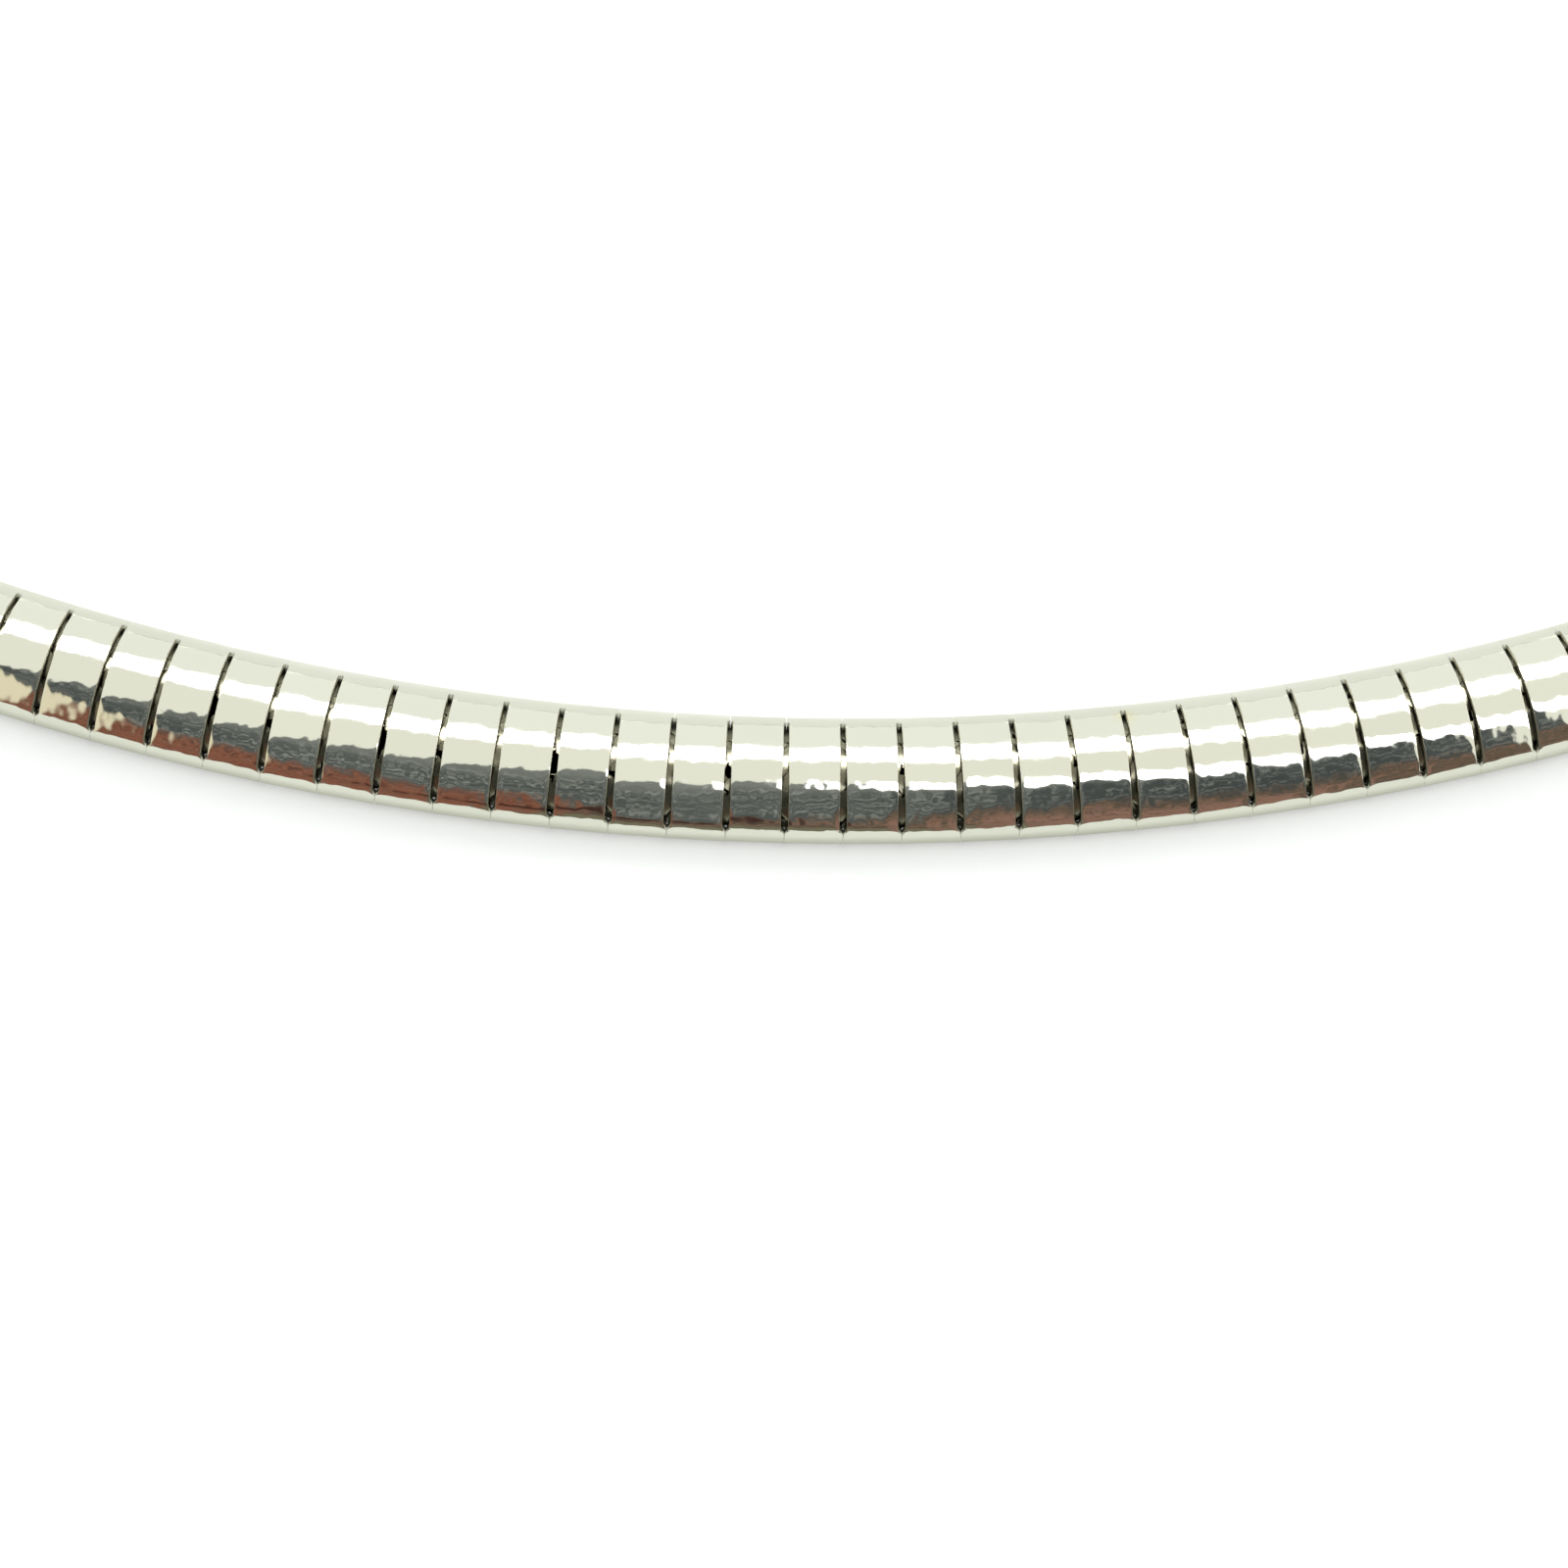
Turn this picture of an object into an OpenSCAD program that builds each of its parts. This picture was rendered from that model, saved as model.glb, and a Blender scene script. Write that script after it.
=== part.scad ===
// Omega necklace: a stiff, flat loop of domed metal plates that are folded
// round a woven core, closed at the back by a plain clasp.
// The loop lies on the plane z = 0 with its centre at the origin. The front of
// the necklace is at -Y and the clasp at +Y.

/* [Loop] */
// Length of the loop along the middle of the band
loop_length = 432; // [400:1:480]
// Length of the clasp with its two end sleeves
clasp_length = 28; // [22:1:36]
// Distance from one plate to the next, before it is evened out over the loop
plate_pitch = 1.655; // [1.6:0.005:1.8]
// Gap between two plates at their inner ends, where they come closest
plate_gap = 0.12; // [0.1:0.01:0.2]

/* [Plate] */
// Width of the band
band_w = 4; // [3.8:0.1:4.4]
// Height of the band from the surface that it lies on
band_h = 2.05; // [1.95:0.05:2.3]
// Thickness of a plate
plate_wall = 0.25; // [0.15:0.01:0.25]
// Radius of the fold along each lower edge
fold_r = 0.35; // [0.35:0.01:0.4]
// Radius of the dome at each side
side_r = 1.35; // [1.2:0.05:1.5]
// Width of the lip that is folded under each side
lip_w = 1; // [0.8:0.05:1.2]

/* [Core] */
// Clearance between the woven core and the dome of a plate or the clasp's socket
core_gap = 0.11; // [0.1:0.01:0.15]

/* [Clasp] */
// Length of the domed sleeve at each end of the clasp
sleeve_length = 6; // [5:0.5:8]
// Depth of the socket that takes each end of the core
socket_depth = 4; // [2:0.5:4.5]
// Radius of the corners of the box in the middle of the clasp
box_corner_r = 0.5; // [0.3:0.05:0.7]
// Width of the groove between the box and each sleeve
groove_w = 0.4; // [0.2:0.05:0.6]
// Depth of the groove
groove_depth = 0.25; // [0.1:0.05:0.3]

/* [Hidden] */
$fn = 96;

// Loop
ring_r = loop_length / (2 * PI);
inner_r = ring_r - band_w / 2;
plates_per_side = floor((loop_length - clasp_length) / (2 * plate_pitch));
plate_step = arc_angle((loop_length - clasp_length) / (2 * plates_per_side));
plate_length = inner_r * plate_step * PI / 180 - plate_gap;
row_angle = plates_per_side * plate_step;
clasp_angle = 360 - 2 * row_angle - arc_angle(plate_gap);

// Dome of three tangent arcs: a crown and two sides, which end on the fold
dome_h = band_h - fold_r;
side_x = band_w / 2 - side_r;
crown_r = (side_x * side_x + dome_h * dome_h - side_r * side_r) / (2 * (dome_h - side_r));
crown_y = band_h - crown_r;
fold_x = band_w / 2 - fold_r;

// Core
core_inset = plate_wall + core_gap;
core_angle = 360 - clasp_angle + 2 * arc_angle(socket_depth - core_gap);

// Angle round the loop, in degrees, of a length along the middle of the band
function arc_angle(length) = length / ring_r * 180 / PI;

// Domed part of the band's section above the fold, drawn in by an inset
module dome_outline(inset) {
    reach = 2 * crown_r / side_r;
    intersection() {
        union() {
            for (side = [-1, 1])
                translate([side * side_x, fold_r])
                    circle(r = side_r - inset);
            intersection() {
                translate([0, crown_y])
                    circle(r = crown_r - inset);
                translate([0, crown_y])
                    polygon([
                        [0, 0],
                        reach * [side_x, fold_r - crown_y] * 2,
                        [0, 2 * crown_r],
                        reach * [-side_x, fold_r - crown_y] * 2
                    ]);
            }
        }
        translate([-band_w / 2, fold_r])
            square([band_w, band_h]);
    }
}

// Part of the band's section below the dome, with a rounded fold at each side
module fold_outline(inset) {
    intersection() {
        union() {
            for (side = [-1, 1])
                translate([side * fold_x, fold_r])
                    circle(r = fold_r - inset);
            translate([-fold_x, inset])
                square([2 * fold_x, fold_r]);
        }
        translate([-band_w / 2, 0])
            square([band_w, fold_r]);
    }
}

// Whole section of the band, drawn in by an inset
module band_outline(inset) {
    dome_outline(inset);
    fold_outline(inset);
}

// Section of one plate: a dome with a lip folded under each side
module plate_outline() {
    difference() {
        band_outline(0);
        band_outline(plate_wall);
        translate([lip_w - band_w / 2, -fold_r])
            square([band_w - 2 * lip_w, 3 * fold_r]);
    }
}

// Section of the core: it fills the dome and is flat below, where it is
// cut off at the height of the fold's centre
module core_outline() {
    dome_outline(core_inset);
}

// Section of the clasp's socket: the core's, grown by the clearance
module socket_outline() {
    dome_outline(plate_wall);
    translate([plate_wall - band_w / 2, fold_r - core_gap])
        square([band_w - 2 * plate_wall, core_gap]);
}

// Section of the clasp's box: a rectangle with rounded corners
module box_outline() {
    corner_x = band_w / 2 - box_corner_r;
    corner_y = band_h - box_corner_r;
    translate([-corner_x, 0])
        square([2 * corner_x, band_h]);
    translate([-band_w / 2, box_corner_r])
        square([band_w, band_h - 2 * box_corner_r]);
    for (x = [-corner_x, corner_x], y = [box_corner_r, corner_y])
        translate([x, y])
            circle(r = box_corner_r);
}

// Bends a section round the loop from one angle to another, counted from the
// front (-Y) towards +X
module bend(from, to) {
    rotate([0, 0, from - 90])
        rotate_extrude(angle = to - from)
            translate([ring_r, 0])
                children();
}

// One plate, standing across the band at the front of the loop
module plate() {
    translate([0, -ring_r, 0])
        rotate([90, 0, 90])
            linear_extrude(height = plate_length, center = true)
                plate_outline();
}

// One half of the row of plates; side is 1 towards +X and -1 towards -X
module plate_row(side) {
    for (i = [0 : plates_per_side - 1])
        rotate([0, 0, side * (i + 0.5) * plate_step])
            plate();
}

// Half of the plates, on the wearer's right when the front faces the viewer
module plates_left() {
    color("silver")
        plate_row(-1);
}

// Half of the plates, on the wearer's left when the front faces the viewer
module plates_right() {
    color("silver")
        plate_row(1);
}

// Woven band that the plates are folded round, with its ends in the clasp
module core() {
    color("darkgray")
        bend(-core_angle / 2, core_angle / 2)
            core_outline();
}

// Box clasp, fastened, as one plain piece with a sleeve at each end
module clasp() {
    half_angle = clasp_angle / 2;
    sleeve_angle = arc_angle(sleeve_length);
    socket_angle = arc_angle(socket_depth);
    box_angle = half_angle - sleeve_angle - arc_angle(groove_w);
    color("gainsboro")
        difference() {
            union() {
                bend(180 - half_angle, 180 + half_angle)
                    band_outline(groove_depth);
                bend(180 - half_angle, 180 - half_angle + sleeve_angle)
                    band_outline(0);
                bend(180 + half_angle - sleeve_angle, 180 + half_angle)
                    band_outline(0);
                bend(180 - box_angle, 180 + box_angle)
                    box_outline();
            }
            for (side = [-1, 1])
                bend(180 + side * (half_angle - socket_angle), 180 + side * (half_angle + 1))
                    socket_outline();
        }
}

plates_left();
plates_right();
core();
clasp();
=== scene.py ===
"""Dresses the omega necklace: polished plates, woven core, clasp, floor, sky and camera.

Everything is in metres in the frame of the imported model: +Z up, the loop's centre at
the origin, the front at -Y and the clasp at +Y.
"""

import logging
import math
from dataclasses import dataclass, field
from enum import Enum
from typing import Any

import bpy
import numpy as np
from mathutils import Matrix, Vector


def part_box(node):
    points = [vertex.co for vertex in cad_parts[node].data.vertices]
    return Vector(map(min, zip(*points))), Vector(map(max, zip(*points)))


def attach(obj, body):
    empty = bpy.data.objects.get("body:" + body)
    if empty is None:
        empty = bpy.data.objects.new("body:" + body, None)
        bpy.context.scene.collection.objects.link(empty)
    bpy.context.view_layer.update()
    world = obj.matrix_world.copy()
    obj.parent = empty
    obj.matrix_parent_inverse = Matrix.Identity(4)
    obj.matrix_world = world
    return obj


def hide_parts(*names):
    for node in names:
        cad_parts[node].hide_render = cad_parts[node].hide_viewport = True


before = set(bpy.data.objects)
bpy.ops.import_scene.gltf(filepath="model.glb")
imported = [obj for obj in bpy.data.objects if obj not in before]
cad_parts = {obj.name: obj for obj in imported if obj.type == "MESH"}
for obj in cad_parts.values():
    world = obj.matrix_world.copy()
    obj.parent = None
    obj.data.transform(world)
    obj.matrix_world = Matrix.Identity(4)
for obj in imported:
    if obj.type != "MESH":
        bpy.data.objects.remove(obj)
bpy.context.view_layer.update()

log = logging.getLogger("necklace")

MM = 0.001
TINY = 1e-9
ROOT_BODY = "root"

Pair = tuple[float, float]
Triple = tuple[float, float, float]
Colour = Triple


class Node(Enum):
    """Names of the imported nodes."""

    PLATES_LEFT = "plates_left"
    PLATES_RIGHT = "plates_right"
    CORE = "core"
    CLASP = "clasp"


class Slot(Enum):
    """Material slots of the record."""

    PLATE = "polished_plate"
    WIRE = "woven_wire"
    CLASP = "clasp_metal"


class Wear(Enum):
    """Attributes of a mesh that its finish reads."""

    # Tarnished hollows; on the plates also painted shade on the lower outer fold and inner flank,
    # and painted light where it is lowered at the crown.
    TARNISH = "tarnish"
    SHADE = "shade"
    ALONG = "along"
    # Share of a matt film, used as painted light in shaded gaps.
    FILM = "film"


class Side(Enum):
    """Side of the front on which a half of the row lies, as the sign of X."""

    LEFT = -1
    RIGHT = 1


class Socket:
    """Wraps a shader socket so that an expression on it adds Math nodes."""

    def __init__(self, graph: "Graph", socket: Any) -> None:
        """Keeps the graph and the output socket that it wraps."""
        self.graph = graph
        self.socket = socket

    def _math(self, operation: str, *values: Any) -> "Socket":
        """Adds one Math node on the given values and returns its result."""
        made = self.graph.node("ShaderNodeMath", {"operation": operation}, dict(enumerate(values)))
        return self.graph.out(made)

    def __add__(self, other: Any) -> "Socket":
        """Sum."""
        return self._math("ADD", self, other)

    __radd__ = __add__

    def __sub__(self, other: Any) -> "Socket":
        """Difference."""
        return self._math("SUBTRACT", self, other)

    def __rsub__(self, other: Any) -> "Socket":
        """Difference with this socket on the right."""
        return self._math("SUBTRACT", other, self)

    def __mul__(self, other: Any) -> "Socket":
        """Product."""
        return self._math("MULTIPLY", self, other)

    __rmul__ = __mul__

    def __truediv__(self, other: Any) -> "Socket":
        """Quotient."""
        return self._math("DIVIDE", self, other)

    def __neg__(self) -> "Socket":
        """Negative."""
        return self._math("MULTIPLY", self, -1.0)

    def __abs__(self) -> "Socket":
        """Size without the sign."""
        return self._math("ABSOLUTE", self)

    def __pow__(self, power: Any) -> "Socket":
        """Power."""
        return self._math("POWER", self, power)

    def angle_over(self, other: Any) -> "Socket":
        """Angle of this value over another, in radians."""
        return self._math("ARCTAN2", self, other)

    def at_least(self, least: Any) -> "Socket":
        """The larger of this value and another."""
        return self._math("MAXIMUM", self, least)

    def step(self, low: float, high: float) -> "Socket":
        """Smooth step of this value.

        Args:
            low: value at which the step is 0.
            high: value at which the step is 1; it may be the smaller one.

        Returns:
            A socket from 0 to 1.
        """
        inputs = {"Value": self, "From Min": min(low, high), "From Max": max(low, high)}
        made = self.graph.node("ShaderNodeMapRange", {"interpolation_type": "SMOOTHSTEP"}, inputs)
        risen = self.graph.out(made, "Result")
        return risen if high > low else 1.0 - risen

    def band(self, low: float, high: float, soft: float) -> "Socket":
        """Mask that is 1 between two values, with each edge faded over a soft width."""
        half = soft / 2
        return self.step(low - half, low + half) * self.step(high + half, high - half)


class Graph:
    """Builds a node tree from Python expressions."""

    def __init__(self, tree: bpy.types.NodeTree) -> None:
        """Empties the tree and keeps it."""
        self.tree = tree
        self.tree.nodes.clear()

    def node(self, kind: str, settings: dict[str, Any] | None = None,
             inputs: dict[Any, Any] | None = None) -> bpy.types.Node:
        """Adds a node.

        Args:
            kind: type of the node.
            settings: attributes that are set first, such as a Math node's operation.
            inputs: values, colours or sockets by the name or number of the input.

        Returns:
            The node.
        """
        made = self.tree.nodes.new(kind)
        for name, value in (settings or {}).items():
            setattr(made, name, value)
        for name, value in (inputs or {}).items():
            if isinstance(value, Socket):
                self.tree.links.new(value.socket, made.inputs[name])
            elif made.inputs[name].type == "RGBA":
                made.inputs[name].default_value = (*value, 1.0)
            else:
                made.inputs[name].default_value = value
        return made

    def out(self, node: bpy.types.Node, name: Any = 0) -> Socket:
        """Wraps one output of a node."""
        return Socket(self, node.outputs[name])

    def worn(self, wear: Wear) -> Socket:
        """Value of one of the mesh's own attributes."""
        return self.out(self.node("ShaderNodeAttribute", {"attribute_name": wear.value}), "Fac")

    def layered(self, colour: Any, *layers: tuple[Socket, Any]) -> Any:
        """Lays colours over a first one, in order, each by its mask.

        Args:
            colour: the first colour.
            layers: pairs of a mask and a colour.

        Returns:
            The last mix.
        """
        for mask, upper in layers:
            inputs = {0: mask, 6: colour, 7: upper}
            colour = self.out(self.node("ShaderNodeMix", {"data_type": "RGBA"}, inputs), 2)
        return colour

    def noise(self, vector: Any, scale: float, detail: float, rough: float) -> Socket:
        """Noise from 0 to 1, with the number and the strength of its finer layers."""
        inputs = {"Vector": vector, "Scale": scale, "Detail": detail, "Roughness": rough}
        return self.out(self.node("ShaderNodeTexNoise", {}, inputs))

    def distance(self, vector: Any, place: Triple) -> Socket:
        """Distance of the coordinates from a place."""
        away = self.node("ShaderNodeVectorMath", {"operation": "DISTANCE"}, {0: vector, 1: place})
        return self.out(away, "Value")


@dataclass(frozen=True)
class MetalFinish:
    """Polished metal with small handling dents, scuffs and tarnished gaps.

    One attribute is 0 on open surfaces and 1 deep in a gap, where the metal is
    tarnished; on the plates it also paints shade on the lower outer fold and the inner
    flank, and is lowered on the gaps' walls at the crown as painted light. Another runs
    from -1 to 1 along a plate: the surface falls away to both ends by a high power of
    it, and the cut ends are tarnished. A third is the share of a dull matt film, which
    is partly painted light that pales the gaps where they lie in shade. A pair gives
    the values at which a smooth step is 0 and 1. Lengths are in metres, and the smears'
    size is a multiple of the dents' size.
    """

    name: str
    slot: Slot
    colour: Colour
    # Tarnished colour, also the painted shade on the plates' lower outer fold and inner flank.
    tarnish_and_shade_colour: Colour
    roughness: float
    tarnish_roughness: float
    dent_size: float
    dent_height: float
    grain_size: float
    grain_height: float
    dull: float = 0.965
    smear_dull: float = 0.93
    smear_share: float = 0.25
    smear_size: float = 9.0
    smear_edge: Pair = (0.55, 0.8)
    scuff: float = 0.04
    scuff_edge: Pair = (0.45, 0.8)
    stain_place: Triple | None = None
    stain_colour: Colour = (0.76, 0.71, 0.44)
    stain_share: float = 0.6
    stain_edge: Pair = (1.1, 0.5)
    patchiness: float = 0.5
    # Colour of the matt film, which is partly painted light in shaded gaps.
    film_and_light_colour: Colour = (0.62, 0.62, 0.45)
    film_rough: float = 0.3
    film_matt: float = 0.9
    cut_end: Pair = (0.985, 0.997)
    end_drop: float = 0.0
    end_power: float = 9.0

    def build(self) -> bpy.types.Material:
        """Makes the material.

        Returns:
            The material.
        """
        material = bpy.data.materials.new(self.name)
        material.use_nodes = True
        graph = Graph(material.node_tree)
        place = graph.out(graph.node("ShaderNodeTexCoord"), "Object")
        reach = abs(graph.worn(Wear.ALONG))
        tarnish = graph.worn(Wear.TARNISH).at_least(reach.step(*self.cut_end))
        # Share of a matt film, partly painted light that pales shaded gaps.
        film = graph.worn(Wear.FILM)
        dents = graph.noise(place, 1 / self.dent_size, 1.0, 0.35)
        grain = graph.noise(place, 1 / self.grain_size, 2.0, 0.6)
        smears = graph.noise(place, 1 / (self.smear_size * self.dent_size), 3.0, 0.6)
        dull = tuple(self.dull * c for c in self.colour)
        smeared = tuple(self.smear_dull * c for c in self.colour)
        layers = [(graph.worn(Wear.SHADE), self.colour),
                  (smears.step(*self.smear_edge) * self.smear_share, smeared)]
        if self.stain_place is not None:
            away = graph.distance(place, self.stain_place) / MM + smears
            layers.append((away.step(*self.stain_edge) * self.stain_share, self.stain_colour))
        # The tarnished colour also paints shade on the plates' lower outer fold and inner flank.
        patchy = tarnish * (1.0 - self.patchiness / 2 + self.patchiness * smears)
        layers += [(patchy.step(0.0, 1.0), self.tarnish_and_shade_colour), (film, self.film_and_light_colour)]
        rough = self.roughness + self.scuff * smears.step(*self.scuff_edge)
        rough = rough + tarnish * (self.tarnish_roughness - self.roughness)
        rough = rough + film * self.film_rough
        normal: dict[str, Socket] = {}
        ends = 1.0 - reach**self.end_power
        for drop, height in ((self.end_drop, ends), (self.dent_height, dents),
                             (self.grain_height, grain)):
            bump = graph.node("ShaderNodeBump", {}, {"Distance": drop, "Height": height, **normal})
            normal = {"Normal": graph.out(bump)}
        surface = graph.node("ShaderNodeBsdfPrincipled", {}, {
            "Base Color": graph.layered(dull, *layers), "Metallic": 1.0 - film * self.film_matt,
            "Roughness": rough, **normal})
        graph.node("ShaderNodeOutputMaterial", {}, {"Surface": graph.out(surface)})
        return material


PLATE_FINISH = MetalFinish(
    name="plate_silver", slot=Slot.PLATE,
    colour=(0.765, 0.775, 0.705), tarnish_and_shade_colour=(0.24, 0.23, 0.165),
    roughness=0.05, tarnish_roughness=0.60, dent_size=0.50 * MM, dent_height=0.016 * MM,
    grain_size=0.13 * MM, grain_height=0.0004 * MM, end_drop=0.0052 * MM, end_power=12.0,
    stain_place=(11.4 * MM, -66.8 * MM, 1.8 * MM))
CLASP_FINISH = MetalFinish(
    name="clasp_silver", slot=Slot.CLASP,
    colour=(0.80, 0.80, 0.75), tarnish_and_shade_colour=(0.13, 0.11, 0.07),
    roughness=0.17, tarnish_roughness=0.5, dent_size=0.9 * MM, dent_height=0.030 * MM,
    grain_size=0.15 * MM, grain_height=0.003 * MM)
WIRE_FINISH = MetalFinish(
    name="wire_silver", slot=Slot.WIRE,
    colour=(0.50, 0.48, 0.43), tarnish_and_shade_colour=(0.13, 0.122, 0.088),
    roughness=0.30, tarnish_roughness=0.15, dent_size=0.3 * MM, dent_height=0.006 * MM,
    grain_size=0.08 * MM, grain_height=0.002 * MM)


@dataclass
class Mesh:
    """Vertices, faces, normals and wear of a piece, as whole arrays."""

    points: np.ndarray
    faces: list[np.ndarray]
    normals: np.ndarray | None = None
    wear: dict[Wear, np.ndarray] = field(default_factory=dict)

    def build(self, name: str) -> bpy.types.Object:
        """Puts the arrays into a mesh and its object.

        Args:
            name: name of the object.

        Returns:
            The object, at the origin.
        """
        data = bpy.data.meshes.new(name)
        corners = np.concatenate([f.ravel() for f in self.faces]).astype(np.int32)
        totals = np.concatenate([np.full(len(f), f.shape[1]) for f in self.faces])
        starts = (np.cumsum(totals) - totals).astype(np.int32)
        data.vertices.add(len(self.points))
        data.vertices.foreach_set("co", self.points.astype(np.float32).ravel())
        data.loops.add(len(corners))
        data.loops.foreach_set("vertex_index", corners)
        data.polygons.add(len(totals))
        data.polygons.foreach_set("loop_start", starts)
        data.polygons.foreach_set("use_smooth", np.ones(len(totals), bool))
        data.update(calc_edges=True)
        for wear in Wear:
            values = self.wear.get(wear, np.zeros(len(self.points)))
            layer = data.attributes.new(wear.value, "FLOAT", "POINT")
            layer.data.foreach_set("value", values.astype(np.float32).ravel())
        if self.normals is not None:
            data.normals_split_custom_set_from_vertices(self.normals)
        made = bpy.data.objects.new(name, data)
        bpy.context.scene.collection.objects.link(made)
        return made


def grid_faces(rows: int, columns: int, wrap_rows: bool, wrap_columns: bool) -> np.ndarray:
    """Quads of a grid whose vertices are numbered row by row.

    Args:
        rows: number of rows.
        columns: number of columns.
        wrap_rows: whether the last row joins the first.
        wrap_columns: whether the last column joins the first.

    Returns:
        An array of faces with four vertex numbers each.
    """
    r = np.arange(rows if wrap_rows else rows - 1)[:, None]
    c = np.arange(columns if wrap_columns else columns - 1)[None, :]
    next_r, next_c = (r + 1) % rows, (c + 1) % columns
    here, ahead = r * columns, next_r * columns
    quads = [here + c, here + next_c, ahead + next_c, ahead + c]
    return np.stack(np.broadcast_arrays(*quads), axis=-1).reshape(-1, 4)


def ease(values: np.ndarray, low: float, high: float) -> np.ndarray:
    """Smooth step from 0 to 1 of angles in radians, between two angles in degrees."""
    share = ((np.degrees(values) - low) / (high - low)).clip(0, 1)
    return share * share * (3 - 2 * share)


def unit(vectors: np.ndarray) -> np.ndarray:
    """Vectors of length 1 in the same directions."""
    return vectors / np.linalg.norm(vectors, axis=-1, keepdims=True)


def rotations(axis: int, angles: np.ndarray) -> np.ndarray:
    """Rotation matrices about one axis, from the sines and cosines of the angles.

    Args:
        axis: number of the axis.
        angles: one angle for each matrix, in radians.

    Returns:
        The matrices, numbered on the last axis.
    """
    first, second = (axis + 1) % 3, (axis + 2) % 3
    made = np.eye(3)[:, :, None] * np.ones(len(angles))
    made[first, first] = made[second, second] = np.cos(angles)
    made[second, first] = np.sin(angles)
    made[first, second] = -np.sin(angles)
    return made


def even_ring(ring: np.ndarray, count: int) -> np.ndarray:
    """Resamples a closed line by equal steps of its length, from its first point.

    Args:
        ring: points of the line.
        count: number of new points.

    Returns:
        The new points.
    """
    closed = np.concatenate([ring, ring[:1]])
    gaps = np.linalg.norm(np.diff(closed, axis=0), axis=1)
    run = np.concatenate([[0], np.cumsum(gaps)])
    wanted = np.linspace(0, run[-1], count, endpoint=False)
    return np.stack([np.interp(wanted, run, closed[:, k]) for k in range(2)], axis=1)


@dataclass(frozen=True)
class BandSection:
    """Section of the band: a dome of three tangent arcs that stands on two folds."""

    width: float = 4.0 * MM
    height: float = 2.05 * MM
    wall: float = 0.25 * MM
    fold_radius: float = 0.35 * MM
    side_radius: float = 1.35 * MM
    lip_width: float = 1.0 * MM
    core_inset: float = 0.36 * MM

    @property
    def side_x(self) -> float:
        """Distance from the middle to the centre of a side's arc."""
        return self.width / 2 - self.side_radius

    @property
    def fold_x(self) -> float:
        """Distance from the middle to the centre of a fold."""
        return self.width / 2 - self.fold_radius

    @property
    def crown_radius(self) -> float:
        """Radius of the crown, which touches both sides' arcs from outside."""
        up = self.height - self.fold_radius
        return (self.side_x**2 + up**2 - self.side_radius**2) / (2 * (up - self.side_radius))

    @property
    def crown_y(self) -> float:
        """Height of the crown's centre."""
        return self.height - self.crown_radius

    @property
    def join(self) -> float:
        """Turn at which the crown's arc meets a side's arc, in radians."""
        return math.atan2(self.side_x, self.fold_radius - self.crown_y)

    def outline(self, turn: np.ndarray, inset: Any = 0.0) -> tuple[np.ndarray, np.ndarray]:
        """Points of the outline, drawn in by an inset.

        The outline is followed by the turn of its outward normal from the vertical:
        the crown's arc up to the join, a side's arc up to a right angle, and then the
        fold's arc. Each arc keeps its centre and loses the inset from its radius.

        Args:
            turn: turns in radians, positive towards the outside of the loop.
            inset: distance inwards.

        Returns:
            Distances across the band and heights.
        """
        size = np.abs(turn)
        on_crown, on_side = size <= self.join, size <= math.pi / 2 + TINY
        beside = np.where(on_side, self.side_radius, self.fold_radius)
        radius = np.where(on_crown, self.crown_radius, beside) - inset
        centre_x = np.where(on_crown, 0.0, np.where(on_side, self.side_x, self.fold_x))
        centre_y = np.where(on_crown, self.crown_y, self.fold_radius)
        across = np.sign(turn) * (centre_x + radius * np.sin(size))
        return across, centre_y + radius * np.cos(size)


@dataclass(frozen=True)
class Loop:
    """The necklace's loop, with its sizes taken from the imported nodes."""

    radius: float
    plates_per_side: int = 122
    clasp_length: float = 28.0 * MM
    plate_gap: float = 0.12 * MM

    @classmethod
    def from_frame(cls, section: BandSection) -> "Loop":
        """Takes the loop's middle radius from the outer edge of the core's box."""
        low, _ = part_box(Node.CORE.value)
        return cls(radius=-low.y - (section.width / 2 - section.core_inset))

    @property
    def step(self) -> float:
        """Angle from one plate to the next."""
        around = 2 * math.pi * self.radius - self.clasp_length
        return around / (2 * self.plates_per_side) / self.radius

    @property
    def row_angle(self) -> float:
        """Angle of a half of the row, from the front to the clasp."""
        return self.plates_per_side * self.step

    @property
    def clasp_half(self) -> float:
        """Half of the angle that the clasp takes."""
        return math.pi - self.row_angle - self.plate_gap / 2 / self.radius

    def place(self, along: np.ndarray, across: np.ndarray, height: np.ndarray,
              angle: np.ndarray) -> np.ndarray:
        """Turns points that stand at the front round the loop.

        A point stands at X = along and Y = -(radius + across), and is turned about Z
        by its angle, positive towards +X.

        Args:
            along: distances along the band.
            across: distances across it, positive outwards.
            height: heights.
            angle: angles from the front.

        Returns:
            An array of points, with X, Y and Z on the last axis.
        """
        out = self.radius + across
        along, out, height, angle = np.broadcast_arrays(along, out, height, angle)
        return self.turned(np.stack([along, out, height], axis=-1), angle)

    def turned(self, vectors: np.ndarray, angle: np.ndarray) -> np.ndarray:
        """Turns directions round the loop.

        Args:
            vectors: directions, as along, outwards and up.
            angle: angles from the front.

        Returns:
            The directions, as X, Y and Z.
        """
        along, out, up = vectors[..., 0], vectors[..., 1], vectors[..., 2]
        x = along * np.cos(angle) + out * np.sin(angle)
        y = along * np.sin(angle) - out * np.cos(angle)
        return np.stack([x, y, up], axis=-1)


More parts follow.
